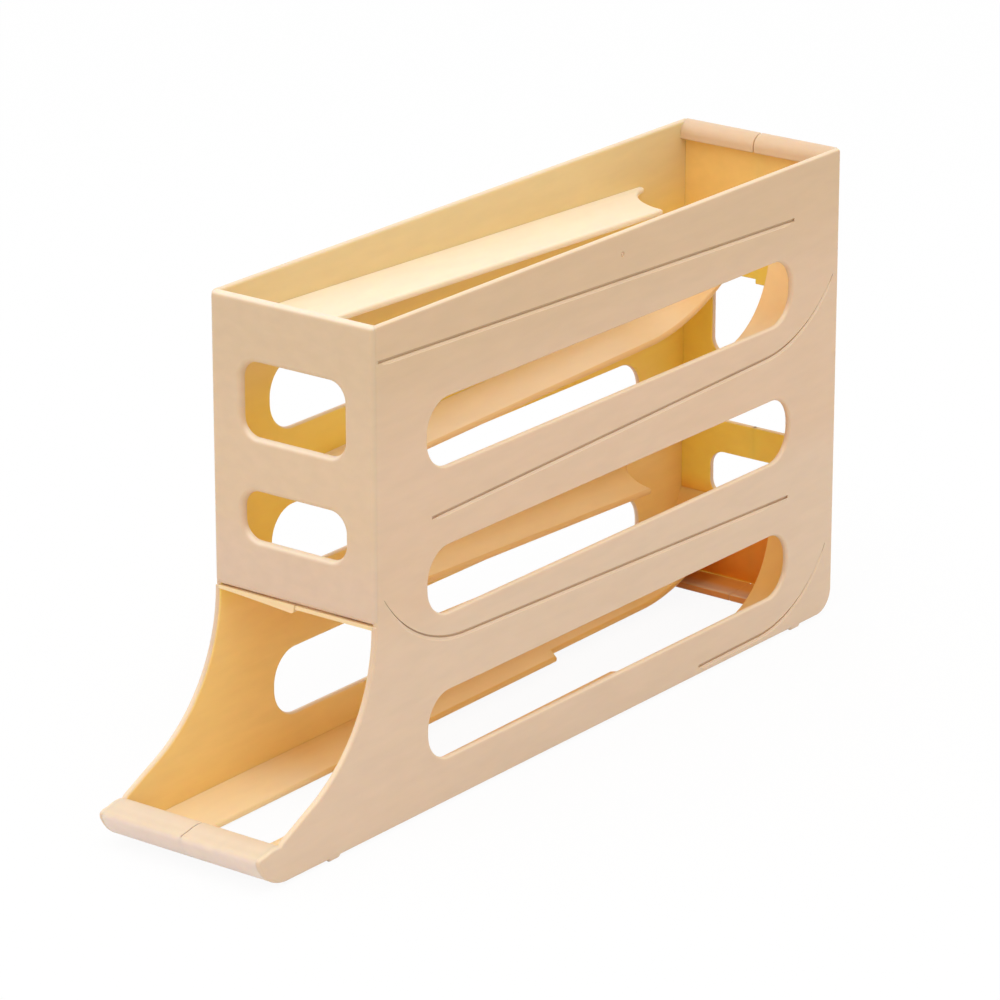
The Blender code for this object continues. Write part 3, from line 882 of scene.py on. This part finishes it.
def gateDisc(side):
    # a shallow ring round a low nub, where the plastic came in
    ring = arcPoints(wall["gate"], wall["gateRadius"], 0, 350, 20)  # the sheet closes the circle
    nub = arcPoints(wall["gate"], wall["gateRadius"] * wall["gateNub"], 0, 340, 30)[::-1]
    mesh = flatSheet("gate", [ring, nub], wall["gateDeep"], wall["gateRounding"], 1, skins["wall"])
    return moved(mesh, alongRack(side * rack["half"]))


def sideWall(name, side, node):
    outlines = [wallOutline()] + wallSlots()
    mesh = flatSheet(name, outlines, rack["sheet"], wall["rounding"], wall["segments"], skins["wall"])
    mesh = moved(mesh, alongRack(side * (inner + rack["sheet"] / 2)))
    cutters = [gateDisc(side)]
    for points, taper, fade in zip(linePaths(), wall["lineTapers"], wall["lineFades"]):
        lower = [(along, up - wall["lineDrop"]) for along, up in points]
        # the tool's faces take the paler tone: painted highlight
        cutters.append(runAlong(
            bpy.data.meshes.new("empty"), gouge, lower, side * (rack["half"] + wall["lineOut"]),
            Radius=wall["lineRadius"], Taper=taper, Material=skins["bead"]))
        slit = [slitOutline(points, fade)]
        # the slit's faces take the darker tone: painted shade in the recess
        band = flatSheet("slit", slit, 2 * wall["lineDeep"], 0, material=skins["groove"])
        cutters.append(moved(band, alongRack(side * rack["half"])))
    setIn(name, carved(mesh, cutters), skins["wall"], node)


for side, name in sides:
    sideWall("sideWall" + name, side, "side_wall_" + name.lower())
print("walls made")


# Front panel with two windows

panel = {
    "front": 0.0625,
    "thickness": 0.0044,
    "bottom": 0.076,
    "rounding": 0.0020,
    "segments": 5,
    "corner": 0.0020,
    "rear": 0.4,  # what is left of the rear half of the thickness
    "windows": [(0.14475, 0.0265, 0.0065), (0.10375, 0.0175, 0.0067)],  # middle, height and radius
    "windowHalf": 0.022,
    "inset": 0.00002,
}


def frontPanel():
    half = rack["half"] - panel["inset"]
    outlines = [softBox((-half, panel["bottom"]), (half, rack["height"]), panel["corner"])]
    for middle, tall, radius in panel["windows"]:
        low, high = (-panel["windowHalf"], middle - tall / 2), (panel["windowHalf"], middle + tall / 2)
        outlines.append(softBox(low, high, radius)[::-1])
    mesh = flatSheet("frontPanel", outlines, panel["thickness"], panel["rounding"], panel["segments"])
    for vertex in mesh.vertices:
        if vertex.co.z < 0:
            vertex.co.z *= panel["rear"]
    mesh = moved(mesh, acrossRack(panel["front"] + panel["thickness"] / 2))
    setIn("frontPanel", mesh, skins["panel"], "front_panel")


frontPanel()
print("panel made")


# Rails under the panel, with a rear face that follows the third tier's bend

rail = {
    "tall": 0.0024,
    "rounding": 0.0005,
    "outer": 0.0011,  # height of the left half at the wall
    "middle": 0.0031,  # and towards the rack's middle
    "sag": 1.3,
    "thin": 0.0013,  # height of the right half
    "round": 0.0012,  # length of the left half's rounded end
    "rounded": 0.55,  # of the height, gone at that end
    "rearStep": 0.5,
    "rows": 24,
}


def railTall(x):
    # the left half hangs lower towards the middle, and its end is rounded off
    if x > 0:
        return rail["thin"]
    share = (x + reach) / reach
    tall = rail["outer"] + (rail["middle"] - rail["outer"]) * share ** rail["sag"]
    end = max(0, 1 + x / rail["round"])
    return tall * (1 - rail["rounded"] * end * end)


def rails():
    tier = tiers["track3"]
    tilt, radius = math.radians(tier["tilt"]), tier["radius"]
    centre = (tier["bend"] - radius * math.sin(tilt), tier["level"] + radius * math.cos(tilt))
    radius += strip["thickness"] / 2 + rack["gap"]
    low, high = wall["seat"] - rail["tall"], wall["seat"]
    turns = [180 + math.degrees(math.asin((centre[1] - up) / radius)) for up in (low, high)]
    outline = [(panel["front"], high), (panel["front"], low)]
    outline += arcPoints(centre, radius, *turns, rail["rearStep"])
    wide = reach - rack["gap"] / 2
    for side, name in sides:
        mesh = flatSheet("rail" + name, [outline], wide, rail["rounding"])
        mesh = sliced(mesh, 2, [wide * (i / rail["rows"] - 0.5) for i in range(1, rail["rows"])])
        mesh = moved(mesh, alongRack(side * (reach + rack["gap"] / 2) / 2))
        for vertex in mesh.vertices:
            vertex.co.z = high - (high - vertex.co.z) * railTall(vertex.co.x) / rail["tall"]
        setIn("frontRail" + name, mesh, skins["rail"], "front_rail_" + name.lower())


rails()


# Lip: a rolled edge in two halves that meet at a short seam

def lipHalves():
    points, noseRun = lipPath()
    total = pathLength(points)
    seam, half, over, far = lip["seam"], lip["seamGap"] / 2, lip["overlap"], reach
    # the seam is open from the rear edge to the nose, and the halves run into each other below it
    right = [(far, 0), (far, total), (seam + half, total), (seam + half, noseRun),
             (seam - over, noseRun), (seam - over, 0)]
    left = [(seam + over, 0), (seam + over, noseRun), (seam - half, noseRun),
            (seam - half, total - lip["tabDeep"]), (seam - half, total), (-far, total), (-far, 0)]
    rows = evenRows(0, total, lip["rows"])[1:-1]
    for name, outline in (("Left", left), ("Right", right)):
        mesh = bentSheet("lip" + name, outline, lip["thickness"], lip["rounding"], points, skins["lip"],
                         rows)
        setIn("lip" + name, mesh, skins["lip"], "lip_" + name.lower(), sharp=60)


lipHalves()
print("rails and lip made")


# Back: plates with half windows, a rolled rim over them, a sill at the foot

back = {
    "thickness": 0.0024,
    "rounding": 0.0006,
    "segments": 4,
    "windowHalf": 0.0193,
    "windowRadius": 0.006,
    "straight": 0.0006,  # least of it above and below a low window's middle
    "foot": 0.036,
    "top": 0.056,
    "bars": (0.0126, 0.009),
    "shares": (0.262, 0.256, 0.482),  # of the windows in the free height, from the foot up
    "overlap": 0.0004,
    "tongueStart": 0.004,
    "tongueDrop": 0.0018,
    "tongueSlant": 0.0012,
    "tongueRadii": (0.0005, 0.0008),
}
waste = {"out": 0.002, "shy": 0.00005}  # beyond the rack, and inside the walls' corner
rim = {
    "thickness": 0.002,
    "rounding": 0.00045,
    "deep": 0.0058,
    "tall": 0.0066,
    "radius": 0.0045,
    "step": 6,
    "corner": 0.0006,
    "rows": 24,
}
sill = {
    "deep": 0.014,
    "tall": 0.003,
    "rounding": 0.0006,
    "corner": 0.0009,
    "into": 0.0012,  # how far it runs into the plates
    "overlap": 0.0001,
}


def cornerWaste():
    # what lies outside the walls' rounded lower rear corner
    corner, out = wall["backCorner"], waste["out"]
    centre = (rack["length"] - corner, rack["base"] + corner)
    ring = arcPoints(centre, corner - waste["shy"], -90, 0)
    ring += [(rack["length"] + out, centre[1]), (rack["length"] + out, rack["base"] - out),
             (centre[0], rack["base"] - out)]
    return moved(flatSheet("waste", [ring], 2 * rack["half"] + out, 0), alongRack(0))


def backPlates():
    seam = -back["overlap"]
    top = rack["height"] - rim["thickness"] - rack["gap"]
    free = rack["height"] - back["top"] - back["foot"] - sum(back["bars"])
    windows, low = [], back["foot"]
    for share, bar in zip(back["shares"], (*back["bars"], 0)):
        windows.append((low, low + share * free))
        low += share * free + bar
    for side, name in sides:
        corners = [(seam, rack["base"], 0), (reach, rack["base"], 0), (reach, top, 0), (seam, top, 0)]
        for number, (low, high) in enumerate(reversed(windows)):
            if number == 0 and side > 0:
                # the right half hangs a little lower at the middle of the top window
                start, drop = back["tongueStart"], high - back["tongueDrop"]
                first, second = back["tongueRadii"]
                corners += [(seam, drop, first), (start, drop, second),
                            (start + back["tongueSlant"], high, 0)]
            else:
                corners.append((seam, high, 0))
            radius = min(back["windowRadius"], (high - low) / 2 - back["straight"])
            corners += [(back["windowHalf"], high, radius), (back["windowHalf"], low, radius),
                        (seam, low, 0)]
        outline = softCorners(corners)
        if side < 0:
            outline = mirrorOutline(outline)
        mesh = flatSheet("backPlate" + name, [outline], back["thickness"], back["rounding"],
                         back["segments"])
        mesh = moved(mesh, acrossRack(rack["length"] - back["thickness"] / 2))
        mesh = carved(mesh, [cornerWaste()])
        setIn("backPlate" + name, mesh, skins["back"], "back_plate_" + name.lower())


def rimHalves():
    half = rim["thickness"] / 2
    front = rack["length"] - rim["deep"] + half
    radius = rim["radius"] - half
    centre = (front + radius, rack["height"] - rim["radius"])
    points = [(front, rack["height"] - rim["tall"])] + arcPoints(centre, radius, 180, 90, rim["step"])
    points.append((rack["length"], rack["height"] - half))
    total = pathLength(points)
    rows = evenRows(pathLength(points[:2]), total, rim["rows"])[:-1]
    right = softBox((rack["gap"] / 2, 0), (reach, total), rim["corner"])
    for name, outline in (("Left", mirrorOutline(right)), ("Right", right)):
        mesh = bentSheet("rim" + name, outline, rim["thickness"], rim["rounding"], points, skins["rim"],
                         rows)
        setIn("backRim" + name, mesh, skins["rim"], "back_rim_" + name.lower(), sharp=60)


def sills():
    low = (behind - sill["deep"], rack["base"])
    high = (behind + sill["into"], rack["base"] + sill["tall"])
    outline = softBox(low, high, sill["corner"])
    for side, name in sides:
        mesh = flatSheet("sill" + name, [outline], reach + sill["overlap"], sill["rounding"])
        mesh = moved(mesh, alongRack(side * (reach - sill["overlap"]) / 2))
        mesh = carved(mesh, [cornerWaste()])
        setIn("rearSill" + name, mesh, skins["sill"], "rear_sill_" + name.lower())


backPlates()
rimHalves()
sills()
print("back made")


# Floor, light and camera

studio = {
    "ambient": 0.92,
    "white": (1, 1, 1, 1),
    "aim": (0, 0, 0.09),
    "lamps": {  # place, size and power
        "key": ((0.35, -0.55, 2.0), 1.3, 11.0),
        "fill": ((-1.4, -0.9, 0.9), 1.5, 2.0),
    },
    "floorHalf": 3,
    "floor": {"Base Color": (0.9, 0.9, 0.9, 1), "Roughness": 0.9},
    "floorGlow": 0.93,
}
shot = {
    "azimuth": 37.342,
    "elevation": 19.481,
    "away": 1.81875,
    "right": 0.005279,
    "up": -0.005854,
    "lens": 187.47,
    "sensor": 36,
    "farthest": 20,
}


def paleForRays(tree, amount, one, other, surface):
    # camera, glossy and transmission rays see the other shader, and all the rest the one
    rays = addNode(tree, "ShaderNodeLightPath")
    most = addNode(tree, "ShaderNodeMath", operation="MAXIMUM")
    every = addNode(tree, "ShaderNodeMath", operation="MAXIMUM")
    scale = addNode(tree, "ShaderNodeMath", {1: amount}, operation="MULTIPLY")
    blend = addNode(tree, "ShaderNodeMixShader")
    wire(tree, [(rays, "Is Camera Ray", most, 0), (rays, "Is Glossy Ray", most, 1), (most, 0, every, 0),
                (rays, "Is Transmission Ray", every, 1), (every, 0, scale, 0), (scale, 0, blend, "Fac"),
                (one, 0, blend, 1), (other, 0, blend, 2), (blend, 0, surface, "Surface")])


def paleFloor():
    half = studio["floorHalf"]
    corners = [(-half, -half, 0), (half, -half, 0), (half, half, 0), (-half, half, 0)]
    mesh = bpy.data.meshes.new("floor")
    mesh.from_pydata(corners, [], [(0, 1, 2, 3)])
    floor = bpy.data.objects.new("floor", mesh)
    bpy.context.scene.collection.objects.link(floor)
    material = bpy.data.materials.new("paleFloor")
    material.use_nodes = True
    tree = material.node_tree
    shader = tree.nodes["Principled BSDF"]
    setInputs(shader, studio["floor"])
    glow = addNode(tree, "ShaderNodeEmission")
    paleForRays(tree, studio["floorGlow"], shader, glow, tree.nodes["Material Output"])
    mesh.materials.append(material)


def surround():
    world = bpy.data.worlds.new("surround")
    bpy.context.scene.world = world
    world.use_nodes = True
    tree = world.node_tree
    soft = tree.nodes["Background"]
    setInputs(soft, {"Color": studio["white"], "Strength": studio["ambient"]})
    white = addNode(tree, "ShaderNodeBackground", {"Color": studio["white"], "Strength": 1})
    paleForRays(tree, 1, soft, white, tree.nodes["World Output"])


def lamp(name, place, size, power):
    light = bpy.data.lights.new(name, "AREA")
    light.size = size
    light.energy = power
    item = bpy.data.objects.new(name, light)
    item.location = place
    item.rotation_euler = (Vector(studio["aim"]) - Vector(place)).to_track_quat("-Z", "Y").to_euler()
    bpy.context.scene.collection.objects.link(item)


def aimCamera():
    a, e = math.radians(shot["azimuth"]), math.radians(shot["elevation"])
    backward = Vector((math.sin(a) * math.cos(e), -math.cos(a) * math.cos(e), math.sin(e)))
    rightward = Vector((math.cos(a), math.sin(a), 0))
    upward = backward.cross(rightward)
    data = bpy.data.cameras.new("camera")
    data.lens = shot["lens"]
    data.sensor_width = shot["sensor"]
    data.clip_end = shot["farthest"]
    camera = bpy.data.objects.new("camera", data)
    camera.location = (Vector((0, 0, rack["height"] / 2)) + backward * shot["away"]
                       + rightward * shot["right"] + upward * shot["up"])
    camera.rotation_euler = (-backward).to_track_quat("-Z", "Y").to_euler()
    bpy.context.scene.collection.objects.link(camera)
    bpy.context.scene.camera = camera


paleFloor()
surround()
for name, settings in studio["lamps"].items():
    lamp(name, *settings)
aimCamera()
bpy.context.scene.view_settings.view_transform = "Standard"
print("floor, light and camera made")
